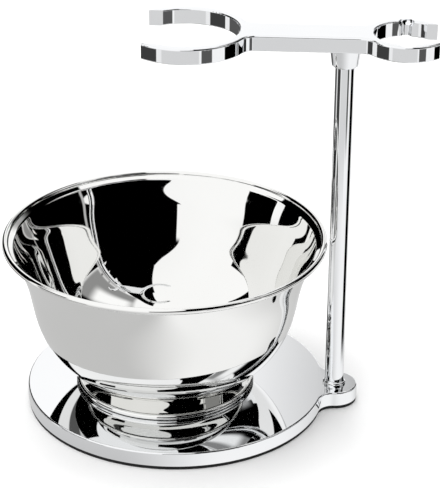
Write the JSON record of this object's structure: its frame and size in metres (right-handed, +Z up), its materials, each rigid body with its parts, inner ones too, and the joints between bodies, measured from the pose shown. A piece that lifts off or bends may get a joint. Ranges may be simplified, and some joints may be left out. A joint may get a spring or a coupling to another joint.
{
  "type": "razor stand",
  "caption": "Free-standing shaving stand: round padded plate, upright post, arm with an open brush fork and an open razor fork, and a loose footed bowl.",
  "frame": {"origin": "on the surface it stands on, under the centre of the plate's disc", "axes": "+X from the disc's centre to the post, +Z up, +Y to the back when the razor fork is on the right"},
  "size_m": [0.1341, 0.1028, 0.1266],
  "materials": {
    "plated_casting": "mirror-polished chrome plate on a zinc casting",
    "polished_steel": "mirror-polished steel, spun or turned",
    "plain_steel": "zinc-plated screw steel",
    "pad_rubber": "matt black foam rubber",
    "adhesive": "thin clear-grey adhesive film",
    "nylon": "natural nylon"
  },
  "bodies": {
    "stand": {"base_plate": "plated_casting", "pad_film": "adhesive", "base_pad": "pad_rubber", "base_screw": "plain_steel", "post": "polished_steel", "foot_collar": "plated_casting", "arm_stud": "plain_steel", "arm_washer": "nylon"},
    "arm": {"arm": "plated_casting"},
    "bowl": {"bowl_shell": "polished_steel", "bowl_liner": "polished_steel", "bowl_foot": "polished_steel"}
  },
  "joints": [
    {"name": "arm_swivel", "type": "hinge", "parent": "stand", "child": "arm", "pos_m": [0.0514, 0, 0.1186], "axis": [0, 0, 1], "range_deg": [-180, 180]},
    {"name": "bowl_lift", "type": "slide", "parent": "stand", "child": "bowl", "axis": [0, 0, 1], "range_m": [0, 0.04]}
  ]
}
